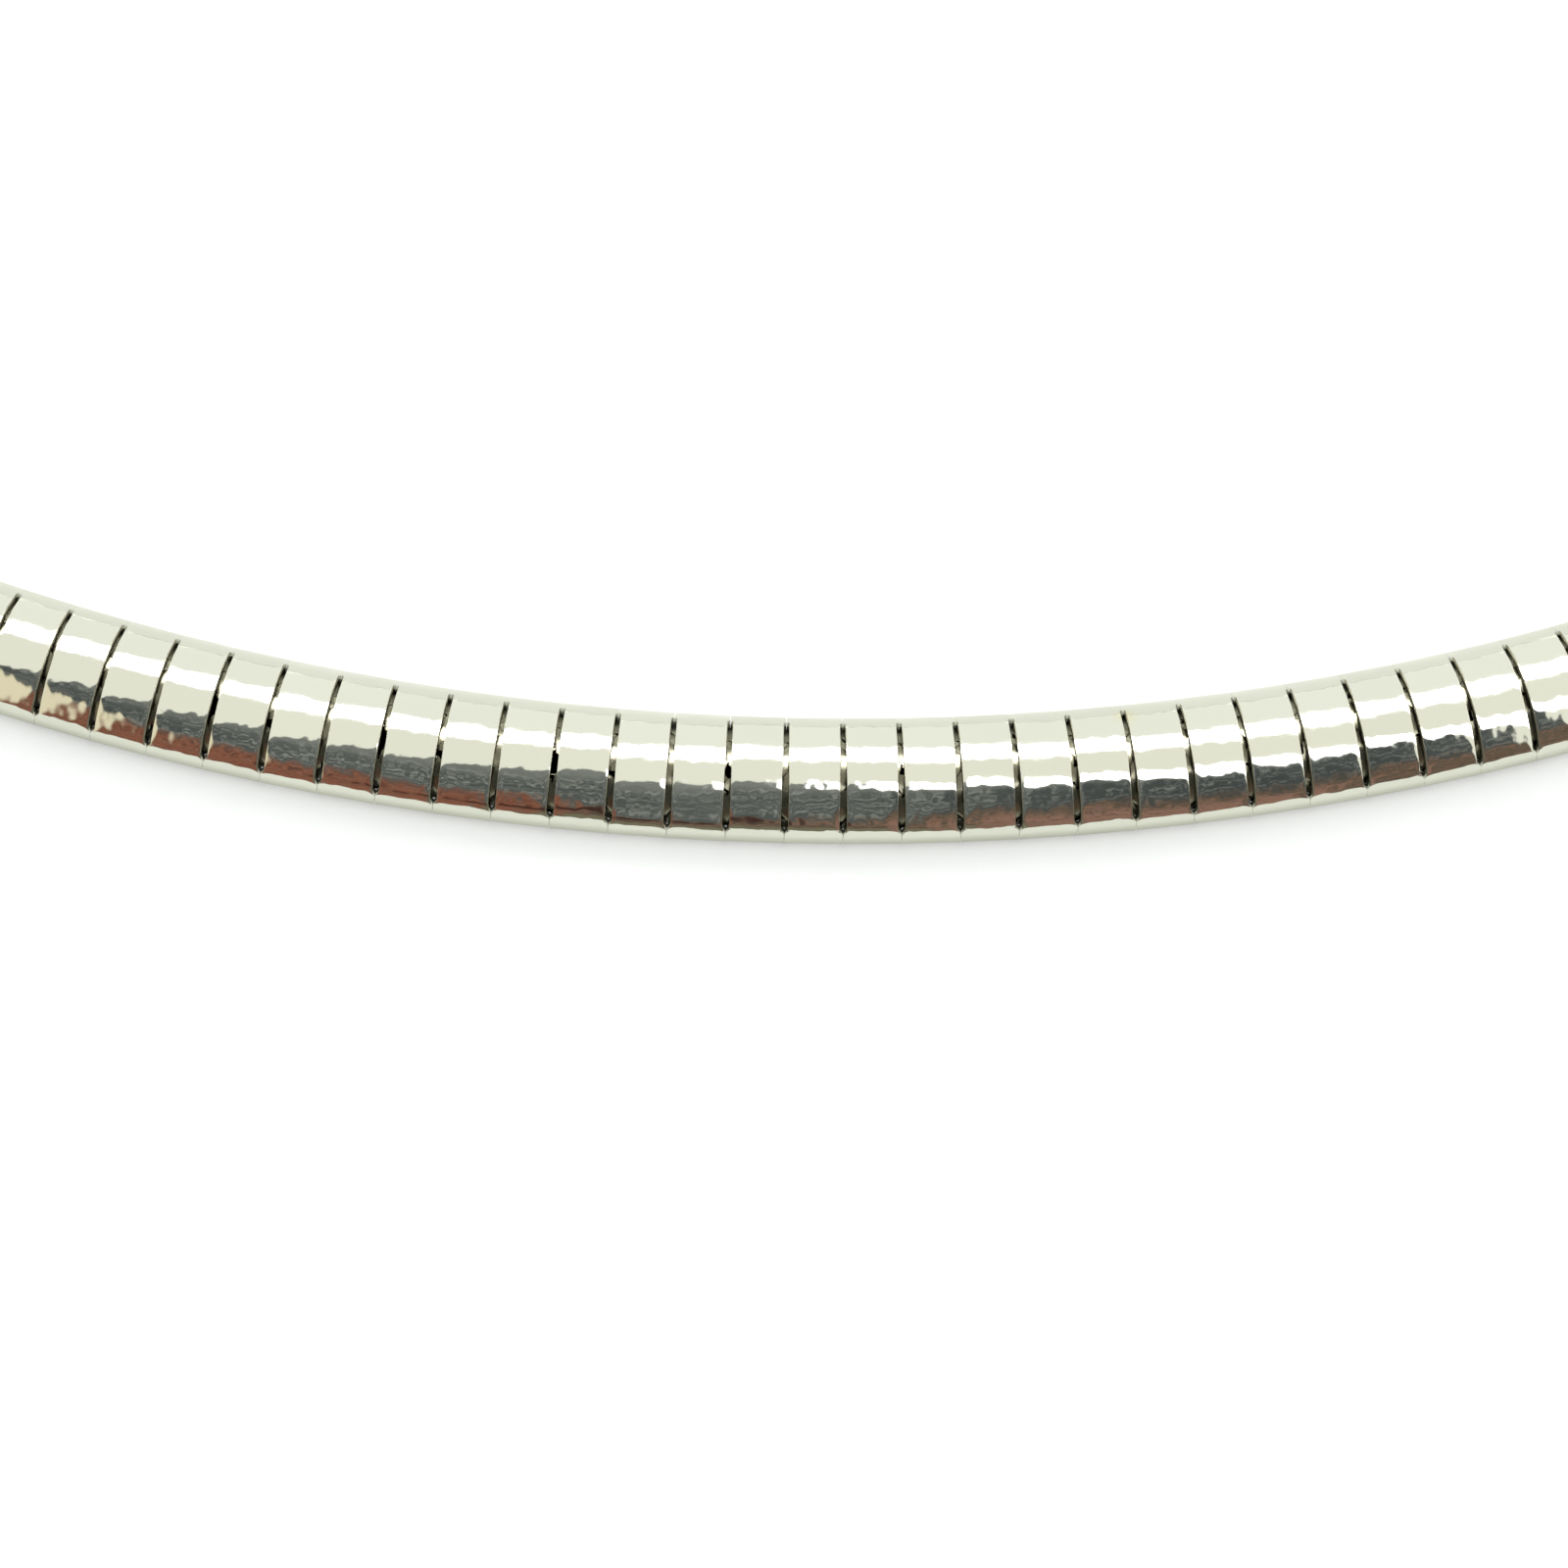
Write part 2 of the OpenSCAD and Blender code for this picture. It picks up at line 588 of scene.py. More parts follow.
@dataclass
class PlateRow:
    """One half of the row of domed plates, folded round the core.

    A pair of turns gives, in degrees, where on the section a smooth step is 0 and 1.
    """

    side: Side
    section: BandSection
    loop: Loop
    edge: float = 0.008 * MM
    barrel: float = math.radians(1.2)
    roll_spread: float = math.radians(1.3)
    yaw_spread: float = math.radians(0.2)
    pitch_spread: float = math.radians(0.4)
    inner_gap: float = 0.008 * MM
    outer_gap: float = 0.006 * MM
    flank_lag: float = math.radians(10.5)
    lag_start: Pair = (40, 66)
    lag_end: Pair = (104, 74)
    inner_tilt: float = 2.3
    # Painted shade: the lower outer fold is darkened.
    fold_painted_shade: float = 0.34
    fold_turns: Pair = (74, 96)
    # Painted light: the gaps' walls are less tarnished near the crown, so the gap lines pale and
    # glint where the bright strip crosses.
    crown_painted_light: float = 0.5
    crown_turns: Pair = (30, 12)
    # Painted shade: the inner flank, towards the loop's centre, is darkened.
    flank_painted_shade: float = 0.08
    flank_turns: Pair = (-22, -38)
    # Painted light: a matt film on the gaps' walls low on the outer flank and below pales the
    # shade there.
    inside_film_and_light: float = 0.35
    film_and_light_turns: Pair = (45, 64)
    profile_turns: tuple[float, ...] = (
        -180, -180, -130, -85, -57, -38, -35, -12, 12, 34, 50, 62, 70, 78, 98, 135, 180, 180)
    inner_close: Pair = (-35, -38)
    inner_open: Pair = (-170, -120)
    outer_close: Pair = (70, 78)
    outer_open: Pair = (170, 120)
    closed_end: float = 0.02
    seed: int = 7
    shade_seed: int = 77

    @property
    def length(self) -> float:
        """Length of a plate along the band."""
        inner = self.loop.radius - self.section.width / 2
        return inner * self.loop.step - self.loop.plate_gap

    def closed(self, turn: np.ndarray) -> tuple[np.ndarray, np.ndarray]:
        """Shares by which the gap beside the dome is closed, inside and outside."""
        return (ease(turn, *self.inner_close) * ease(turn, *self.inner_open),
                ease(turn, *self.outer_close) * ease(turn, *self.outer_open))

    def spread(self, turn: np.ndarray, across: np.ndarray) -> np.ndarray:
        """Length by which a plate's ends widen beside the dome, at each end.

        The gap between two plates grows with the distance from the loop's centre. It
        almost closes at both sides of the dome, and opens again below the fold.

        Args:
            turn: turns of the profile's points.
            across: their distances across the band.

        Returns:
            Lengths that are added to both ends.
        """
        gap = (self.loop.radius + across) * self.loop.step - self.length
        inner, outer = self.closed(turn)
        return (inner * (gap - self.inner_gap) + outer * (gap - self.outer_gap)) / 2

    def facing(self, turn: np.ndarray) -> np.ndarray:
        """Turn of the normal, which lags on the buffed flanks, as if they were flatter."""
        lag = ease(np.abs(turn), *self.lag_start) * ease(np.abs(turn), *self.lag_end)
        return turn - np.sign(turn) * self.flank_lag * lag

    def local(self) -> tuple[np.ndarray, np.ndarray, dict[Wear, np.ndarray]]:
        """One plate at the front of the loop.

        The profile is carried round four rings: the outer surface from edge to edge,
        and the inner surface back. The strips between them are the rounded ends. Where
        the gap is closed, the cut ends count as polished. The attribute for tarnished
        hollows also paints shade on the lower outer fold and the inner flank, and is
        lowered on the gaps' walls at the crown as painted light; a matt film on the walls
        low on the outer flank is painted light in the gaps' shade.

        Returns:
            Points and normals with rings, profile points and (along, across, up) as
            axes, and the wear of each point, with the painted shade and light among it.
        """
        turn = np.radians(self.profile_turns)
        signs = np.array([-1.0, 1.0, 1.0, -1.0])
        trims = np.array([self.edge, self.edge, 0, 0])
        insets = np.array([0, 0, self.section.wall, self.section.wall])
        tilts = np.array([-self.barrel, self.barrel, self.inner_tilt, -self.inner_tilt])
        across, up = self.section.outline(turn[None, :], insets[:, None])
        lip_x = self.section.width / 2 - self.section.lip_width
        across[:, [0, -1]] = -lip_x, lip_x
        reach = self.length / 2 + self.spread(turn, across[0])[None, :] - trims[:, None]
        points = np.stack([signs[:, None] * reach, across, up], axis=-1)
        facing = self.facing(turn)[None, :]
        flat = np.cos(tilts)[:, None]
        normals = np.stack([
            np.broadcast_to(np.sin(tilts)[:, None], across.shape),
            flat * np.sin(facing),
            flat * np.cos(facing),
        ], axis=-1)
        within = np.array([0, 0, 1, 1])[:, None]
        shut = np.maximum(*self.closed(turn))
        # Painted light: near the crown the gaps' walls lose part of their tarnish.
        crown_light = self.crown_painted_light * ease(np.abs(turn), *self.crown_turns)
        tarnish = within * (1 - shut) * (1 - crown_light)
        # Painted shade on the lower outer fold.
        tarnish = np.maximum(tarnish, self.fold_painted_shade * ease(turn, *self.fold_turns))
        # Painted shade on the inner flank.
        tarnish = np.maximum(tarnish, self.flank_painted_shade * ease(turn, *self.flank_turns))
        return points, normals, {
            Wear.TARNISH: tarnish,
            Wear.ALONG: signs[:, None] * (1 - self.closed_end * shut),
            Wear.FILM: within * self.inside_film_and_light * ease(turn, *self.film_and_light_turns)}

    def jitter(self) -> np.ndarray:
        """Small turns of each plate's normals about the axes along, across and up.

        Returns:
            A rotation matrix for each plate.
        """
        draw = np.random.default_rng(self.seed + self.side.value)
        count = self.loop.plates_per_side
        spreads = (self.roll_spread, self.pitch_spread, self.yaw_spread)
        angles = [draw.normal(0, s, count).clip(-2 * s, 2 * s) for s in spreads]
        along, across, up = [rotations(axis, angle) for axis, angle in enumerate(angles)]
        return np.einsum("ijp,jkp,klp->pil", up, across, along)

    def mesh(self) -> Mesh:
        """All the plates of this half as one mesh.

        Each plate is the local one, set at its own angle round the loop. Its normals
        alone are turned a little, so that the plates keep clear of each other.

        Returns:
            The mesh.
        """
        points, normals, wear = self.local()
        facing = np.einsum("pij,rcj->prci", self.jitter(), normals)
        count = self.loop.plates_per_side
        number = np.arange(count)[:, None, None]
        angle = self.side.value * (number + 0.5) * self.loop.step
        placed = self.loop.place(*np.moveaxis(points, -1, 0)[:, None], angle)
        facing = self.loop.turned(facing, angle)
        rings, columns = points.shape[:2]
        single = grid_faces(rings, columns, True, False)
        start = np.arange(rings) * columns
        caps = np.stack([start, (start + columns - 1)[::-1]])
        offset = number * rings * columns
        wear = {kind: np.tile(values, (count, 1, 1)) for kind, values in wear.items()}
        draw = np.random.default_rng(self.shade_seed + self.side.value)
        wear[Wear.SHADE] = np.repeat(draw.random(count), rings * columns)
        return Mesh(
            points=placed.reshape(-1, 3),
            faces=[(single + offset).reshape(-1, 4), (caps + offset).reshape(-1, rings)],
            normals=facing.reshape(-1, 3), wear=wear)

    def dress(self) -> bpy.types.Object:
        """Builds the half, gives it its finish and lets it stand for its node.

        Returns:
            The piece.
        """
        node = Node.PLATES_LEFT if self.side is Side.LEFT else Node.PLATES_RIGHT
        piece = self.mesh().build(f"domed_{node.value}")
        return settle(piece, PLATE_FINISH, node)


@dataclass
class WovenCore:
    """Braid of flat wires that fills the dome of the plates.

    Half of the strands wind one way round the core's section and half the other way.
    """

    side: Side
    section: BandSection
    loop: Loop
    strands: int = 8
    pitch: float = 8.0 * MM
    wire_width: float = 0.62 * MM
    wire_thickness: float = 0.12 * MM
    wave: float = 0.06 * MM
    rise: float = 0.06 * MM
    base_rise: float = 0.02 * MM
    socket_depth: float = 3.8 * MM
    samples_per_crossing: int = 2
    outline_steps: int = 240
    dome_steps: int = 200
    base_steps: int = 120
    rounding: int = 6
    clearance: float = 0.05 * MM
    # Painted light: matt film by how far a wire leans across, full on the inner side and partly at
    # the outer end, pales the wires seen in the shaded gaps.
    film_and_light_leans: tuple[float, ...] = (-0.45, -0.15, 0.6, 0.85)
    film_and_light_shares: tuple[float, ...] = (1.0, 0.10, 0.05, 0.22)
    under_lean: float = -0.5
    under_tarnish: tuple[float, ...] = (0.7, 0.15, 0.7, 0.7)
    edge_lean: float = 0.15

    def centre_line(self) -> tuple[np.ndarray, np.ndarray]:
        """Closed outline that the strands lie on, by equal steps of its length.

        The dome's arcs are followed from one side to the other and the flat base is
        followed back, with the corners rounded by a running mean.

        Returns:
            Points of the outline and its outward normals.
        """
        depth = self.section.core_inset + self.wire_thickness / 2 + self.wave - self.rise
        turn = np.linspace(-math.pi / 2, math.pi / 2, self.dome_steps)
        across, up = self.section.outline(turn, depth)
        base = self.section.fold_radius + self.wire_thickness / 2 + self.wave + self.base_rise
        up = np.maximum(up, base)
        back = np.linspace(across[-1], across[0], self.base_steps)[1:-1]
        ring = np.stack([np.append(across, back), np.append(up, np.full(len(back), base))], axis=1)
        ring = even_ring(ring, self.outline_steps)
        reach = self.rounding
        padded = np.concatenate([ring[-reach:], ring, ring[:reach]])
        kernel = np.ones(2 * reach + 1) / (2 * reach + 1)
        ring = np.stack([np.convolve(padded[:, k], kernel, "valid") for k in range(2)], axis=1)
        ahead = unit(np.roll(ring, -1, axis=0) - np.roll(ring, 1, axis=0))
        return ring, np.stack([-ahead[:, 1], ahead[:, 0]], axis=1)

    def strand_paths(self) -> tuple[np.ndarray, np.ndarray, np.ndarray]:
        """Paths of all the strands of this half.

        At a distance s along the band, a strand lies at the share start + s / pitch
        of the way round the outline, or start - s / pitch for the other family. Its
        height over the outline is a cosine of s that turns over at each crossing, with
        the sign changed for the other family, so that one passes over where the other
        passes under.

        Returns:
            Points, normals and angles round the loop, with strands and samples as
            axes.
        """
        ring, out = self.centre_line()
        reach = (self.loop.row_angle + self.socket_depth / self.loop.radius) * self.loop.radius
        crossing = self.pitch / (2 * self.strands)
        count = int(reach / crossing * self.samples_per_crossing)
        run = np.linspace(0, reach, count)[None, :]
        family = np.repeat([1.0, -1.0], self.strands)[:, None]
        start = np.tile(np.arange(self.strands) / self.strands, 2)[:, None]
        share = (start + self.side.value * family * run / self.pitch) % 1.0
        index = share * len(ring)
        low = index.astype(int) % len(ring)
        high = (low + 1) % len(ring)
        part = (index - np.floor(index))[..., None]
        base = ring[low] * (1 - part) + ring[high] * part
        normal = unit(out[low] * (1 - part) + out[high] * part)
        lift = family * self.wave * np.cos(math.pi * run / crossing)
        angle = self.side.value * run / self.loop.radius
        return base + lift[..., None] * normal, normal, np.broadcast_to(angle, share.shape)

    def tucked(self, points: np.ndarray) -> np.ndarray:
        """Draws back the wires' edges that would reach into the plates' wall.

        Beside and above the centre of a side's arc, a point's distance from that
        centre is at most the radius of the wall's inner face less the clearance.

        Args:
            points: points of the wires.

        Returns:
            The points, a few of them moved.
        """
        out = np.hypot(points[..., 0], points[..., 1])
        across = out - self.loop.radius
        beside = np.abs(across) - self.section.side_x
        above = points[..., 2] - self.section.fold_radius
        most = self.section.side_radius - self.section.wall - self.clearance
        share = np.minimum(1.0, most / np.hypot(beside, above))
        back = np.where((beside > 0) & (above > 0), 1.0 - share, 0.0)
        moved = points.copy()
        moved[..., :2] *= (1.0 - np.sign(across) * beside * back / out)[..., None]
        moved[..., 2] -= above * back
        return moved

    def mesh(self) -> Mesh:
        """All the strands as four-sided flat wires in one mesh.

        A wire's section has its width across the path, in the outline's surface, and
        its thickness along the outline's normal.

        Returns:
            The mesh.
        """
        base, normal, angle = self.strand_paths()
        centre = self.loop.place(np.zeros(angle.shape), base[..., 0], base[..., 1], angle)
        flat = np.stack([np.zeros(angle.shape), normal[..., 0], normal[..., 1]], axis=-1)
        up = self.loop.turned(flat, angle)
        across = unit(np.cross(unit(np.gradient(centre, axis=1)), up))
        half_w, half_t = self.wire_width / 2, self.wire_thickness / 2
        corners = np.stack([centre + across * half_w, centre + up * half_t,
                            centre - across * half_w, centre - up * half_t], axis=2)
        corners = self.tucked(corners)
        lean = self.edge_lean * across
        facing = unit(np.stack([up + lean, up, up - lean, up], axis=2))
        strands, samples = angle.shape
        single = grid_faces(samples, 4, False, True)
        caps = np.array([[3, 2, 1, 0], [0, 1, 2, 3]]) + np.array([[0], [(samples - 1) * 4]])
        offset = (np.arange(strands) * samples * 4)[:, None, None]
        faces = (np.concatenate([single, caps]) + offset).reshape(-1, 4)[:, ::-1]
        covered = (normal[..., 1] > self.under_lean).astype(float)[..., None]
        # Matt film by lean, painted light that pales the wires seen through the shaded gaps.
        film = np.interp(normal[..., :1], self.film_and_light_leans, self.film_and_light_shares)
        wear = {Wear.TARNISH: covered + (1 - covered) * np.array(self.under_tarnish),
                Wear.FILM: film * covered * np.ones(4)}
        return Mesh(corners.reshape(-1, 3), [faces], facing.reshape(-1, 3), wear)

    def dress(self) -> bpy.types.Object:
        """Builds this half of the braid and lets it stand for the core's solid."""
        piece = self.mesh().build(f"woven_core_{self.side.name.lower()}")
        return settle(piece, WIRE_FINISH, Node.CORE)


@dataclass
class Clasp:
    """Box clasp with a domed sleeve at each end, as one closed skin."""

    section: BandSection
    loop: Loop
    sleeve_length: float = 6.0 * MM
    groove_width: float = 0.4 * MM
    groove_depth: float = 0.25 * MM
    socket_depth: float = 4.0 * MM
    box_corner: float = 0.5 * MM
    edge: float = 0.12 * MM
    columns: int = 72
    stretch_steps: int = 7
    edge_steps: int = 3
    arc_steps: int = 400
    socket_tarnish: float = 0.8

    def dome_ring(self, inset: float) -> np.ndarray:
        """Closed domed outline by equal steps from the base's middle.

        Args:
            inset: distance by which it is drawn in.

        Returns:
            Its points.
        """
        turn = np.linspace(-math.pi, math.pi, self.arc_steps)
        across, up = self.section.outline(turn, inset)
        ring = np.stack([np.append(0.0, across), np.append(inset, up)], axis=1)
        return even_ring(ring, self.columns)

    def box_ring(self, inset: float) -> np.ndarray:
        """Closed box outline by equal steps from the base's middle.

        Each corner is a quarter circle about its own centre.

        Args:
            inset: distance by which it is drawn in.

        Returns:
            Its points.
        """
        radius = self.box_corner - inset
        x = self.section.width / 2 - self.box_corner
        low, high = self.box_corner, self.section.height - self.box_corner
        turn = np.linspace(-math.pi, math.pi, self.arc_steps, endpoint=False)
        turn = turn + math.pi / self.arc_steps
        centre_x = np.sign(turn) * x
        centre_y = np.where(np.abs(turn) < math.pi / 2, high, low)
        across = np.append(0.0, centre_x + radius * np.sin(turn))
        up = np.append(inset, centre_y + radius * np.cos(turn))
        return even_ring(np.stack([across, up], axis=1), self.columns)

    def edge_round(self, start: float, toward: int, is_box: float) -> list[Triple]:
        """Stations of one rounded edge.

        The inset falls from the edge's size to 0 along a quarter circle.

        Args:
            start: distance along the band of the flat end.
            toward: 1 if the body lies ahead of the end and -1 if behind it.
            is_box: 1 for the box's section and 0 for the dome's.

        Returns:
            Stations as distance, inset and share of the box's section.
        """
        bend = np.linspace(0, math.pi / 2, self.edge_steps + 1)
        places = start + toward * self.edge * (1 - np.cos(bend))
        insets = self.edge * (1 - np.sin(bend))
        return [(p, i, is_box) for p, i in zip(places, insets)][::toward]

    def half_stations(self) -> list[Triple]:
        """Stations from the end of one sleeve's socket to the middle of the box.

        Returns:
            Stations as distance, inset and share of the box's section.
        """
        half = self.loop.clasp_half * self.loop.radius
        sleeve_end = half - self.sleeve_length
        box_end = sleeve_end - self.groove_width
        made = [(-half + self.socket_depth, self.section.wall, 0.0),
                (-half, self.section.wall, 0.0)]
        made += self.edge_round(-half, 1, 0.0)
        inner = np.linspace(-half + self.edge, -sleeve_end - self.edge, self.stretch_steps)[1:-1]
        made += [(p, 0.0, 0.0) for p in inner]
        made += self.edge_round(-sleeve_end, -1, 0.0)
        made += [(-sleeve_end, self.groove_depth, 0.0), (-box_end, self.groove_depth, 0.0)]
        made += self.edge_round(-box_end, 1, 1.0)
        inner = np.linspace(-box_end + self.edge, 0, self.stretch_steps)[1:]
        return made + [(p, 0.0, 1.0) for p in inner]

    def mesh(self) -> Mesh:
        """Skin carried along the stations of both halves, closed at the sockets' ends.

        Returns:
            The mesh.
        """
        half = self.half_stations()
        stations = half + [(-s, i, b) for s, i, b in half[-2::-1]]
        rings = np.array([self.box_ring(i) if b else self.dome_ring(i) for _, i, b in stations])
        run = np.array([s for s, _, _ in stations])[:, None]
        angle = math.pi + run / self.loop.radius
        points = self.loop.place(np.zeros(rings.shape[:2]), rings[..., 0], rings[..., 1], angle)
        faces = grid_faces(len(stations), self.columns, False, True)
        first = np.arange(self.columns)[None, :]
        last = first[:, ::-1] + (len(stations) - 1) * self.columns
        inside = np.array([i for _, i, _ in stations]) >= self.section.wall - TINY
        tarnish = np.repeat(inside * self.socket_tarnish, self.columns)
        return Mesh(points.reshape(-1, 3), [faces[:, ::-1], first, last],
                    wear={Wear.TARNISH: tarnish})

    def dress(self) -> bpy.types.Object:
        """Builds the clasp and lets it stand for its solid.

        Returns:
            The piece.
        """
        piece = self.mesh().build("box_clasp")
        piece.modifiers.new("edges", "WEIGHTED_NORMAL").keep_sharp = True
        return settle(piece, CLASP_FINISH, Node.CLASP)


def settle(piece: bpy.types.Object, finish: MetalFinish, node: Node) -> bpy.types.Object:
    """Gives a piece its finish, its body and the node that it stands for.

    Args:
        piece: the new object.
        finish: finish to build, or to share if it was built before.
        node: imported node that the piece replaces.

    Returns:
        The piece.
    """
    material = bpy.data.materials.get(finish.name) or finish.build()
    piece.data.materials.append(material)
    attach(piece, ROOT_BODY)
    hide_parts(node.value)
    log.info("%s: %d faces, stands for %s", piece.name, len(piece.data.polygons), node.value)
    return piece


@dataclass(frozen=True)
class SkyRay:
    """Direction, its turn from the zenith to the front in degrees and its drift right."""

    graph: Graph
    vector: Socket
    turn: Socket
    drift: Socket


@dataclass(frozen=True)
class DarkRoom:
    """Dark room that polished metal mirrors in front of the necklace.

    It is hazy at its upper edge and marbled below. Its lower part is brown, more so
    on both sides, with a dark line on the left and a paler sill in the middle. A beige
    wall ends it on the far left. A pair of turns is for a smooth step, and a triple for
    a band. The pairs for the edges are factors and places in a bend by the drift.
    """

    turns: Pair = (23.5, 92.5)
    half_width: float = 0.50
    flare: float = 0.0015
    flare_turn: float = 20.0
    fine: Triple = (22.0, 3.0, 0.6)
    broad: Triple = (7.0, 1.0, 0.4)
    streaks: Triple = (1.0, 2.0, 0.6)
    streak_scale: Triple = (12.0, 60.0, 60.0)
    waves: Pair = (16.0, 8.0)
    near_part: Triple = (-0.35, 0.14, 0.08)
    dark: Colour = (0.096, 0.108, 0.106)
    dark_far: Colour = (0.066, 0.076, 0.078)
    dark_light: Colour = (0.36, 0.37, 0.35)
    marble: Pair = (0.44, 0.70)
    haze: Colour = (0.24, 0.255, 0.24)
    haze_turns: Pair = (44, 26)
    centre_brown: Colour = (0.140, 0.110, 0.082)
    left_brown: Colour = (0.27, 0.100, 0.062)
    left_part: Pair = (-0.06, -0.18)
    right_brown: Colour = (0.33, 0.190, 0.145)
    right_part: Triple = (0.15, 0.38, 0.05)
    right_turns: Pair = (66, 71)
    spots: Pair = (0.50, 0.66)
    spot_share: float = 0.6
    ember: Colour = (0.42, 0.20, 0.13)
    ember_streaks: Pair = (0.50, 0.64)
    ember_share: float = 0.55
    line: Colour = (0.060, 0.026, 0.020)
    line_streaks: Pair = (0.47, 0.35)
    line_share: float = 0.60
    line_turns: Triple = (71, 75, 3.0)
    line_part: Triple = (-0.22, 0.02, 0.08)
    brown_turns: Pair = (57, 65)
    sunk_part: Triple = (-0.13, 0.12, 0.07)
    sunk: float = 9.0
    far_share: Pair = (0.4, 0.7)
    sides: Triple = (0.04, 0.012, -0.012)
    upper_wave: float = 5.0
    upper_left: Pair = (35.0, -0.05)
    upper_right: Pair = (165.0, 49.5)
    lower_bend: Pair = (30.0, 8.0)
    wall_wave: float = 0.012
    wall_upper: Pair = (175.0, 0.415)
    wall_upper_turns: Pair = (47, 53)
    wall_lower: Pair = (240.0, 0.386)
    wall_lower_turns: Pair = (69, 54)
    beige: Colour = (0.95, 0.86, 0.64)
    sill: Colour = (0.20, 0.185, 0.125)
    sill_turns: Pair = (79, 84)
    sill_part: Triple = (-0.15, 0.14, 0.06)

    def layer(self, ray: SkyRay) -> tuple[Socket, Socket]:
        """The room, as a layer over the sky.

        Args:
            ray: direction.

        Returns:
            The mask and the colour.
        """
        graph, turn, drift = ray.graph, ray.turn, ray.drift
        fine = graph.noise(ray.vector, *self.fine)
        broad = graph.noise(ray.vector, *self.broad)
        wavy = turn + (fine - 0.5) * self.waves[0] + (broad - 0.5) * self.waves[1]
        far = 1.0 - drift.band(*self.near_part)
        high = drift.band(*self.sunk_part) * self.sunk
        swept = drift + (broad - 0.5) * self.wall_wave
        upper = turn - self.wall_upper[0] * (swept + self.wall_upper[1])
        lower = turn + self.wall_lower[0] * (swept + self.wall_lower[1])
        wall = upper.step(*self.wall_upper_turns) * lower.step(*self.wall_lower_turns)
        return self._within(ray, fine, broad), graph.layered(
            self.dark,
            (far, self.dark_far),
            (fine.step(*self.marble) * (1.0 - far * self.far_share[0]), self.dark_light),
            (wavy.step(*self.haze_turns) * (1.0 - far * self.far_share[1]), self.haze),
            ((wavy - high).step(*self.brown_turns), self._brown(ray, fine, wavy)),
            (wall, self.beige),
            (turn.band(*self.line_turns) * drift.band(*self.line_part), self.line),
            (turn.step(*self.sill_turns) * drift.band(*self.sill_part), self.sill))

    def _brown(self, ray: SkyRay, fine: Socket, wavy: Socket) -> Socket:
        """Brown of the lower part, streaked with an ember tone and a dark one.

        Args:
            ray: direction.
            fine: fine noise.
            wavy: the turn, made uneven.

        Returns:
            The colour.
        """
        graph, drift = ray.graph, ray.drift
        scaled = {"Vector": ray.vector, "Scale": self.streak_scale}
        stretched = graph.out(graph.node("ShaderNodeMapping", {}, scaled))
        streaks = graph.noise(stretched, *self.streaks)
        return graph.layered(
            self.centre_brown,
            (drift.step(*self.left_part), self.left_brown),
            (drift.band(*self.right_part) * wavy.step(*self.right_turns), self.right_brown),
            (fine.step(*self.spots) * self.spot_share, self.dark),
            (streaks.step(*self.ember_streaks) * self.ember_share, self.ember),
            (streaks.step(*self.line_streaks) * self.line_share, self.line))

    def _within(self, ray: SkyRay, fine: Socket, broad: Socket) -> Socket:
        """Mask of the room, whose sides flare out and whose edges bend at both sides.

        Args:
            ray: direction.
            fine: noise that roughens the upper edge.
            broad: noise that roughens the sides.

        Returns:
            A socket from 0 to 1.
        """
        turn, drift = ray.turn, ray.drift
        edge = self.half_width + self.flare * (turn - self.flare_turn)
        within = (abs(drift) - edge + (broad - 0.5) * self.sides[0]).step(*self.sides[1:])
        start = turn - self.upper_left[0] * (self.upper_left[1] - drift).at_least(0.0)
        start = start + (fine - 0.5) * self.upper_wave
        start = start - (self.upper_right[0] * drift - self.upper_right[1]).at_least(0.0)
        within = within * start.step(self.turns[0] - 1, self.turns[0] + 1)
        end = turn - self.lower_bend[0] * drift * drift - self.lower_bend[1] * drift.at_least(0.0)
        return within * end.step(self.turns[1] + 1, self.turns[1] - 1)


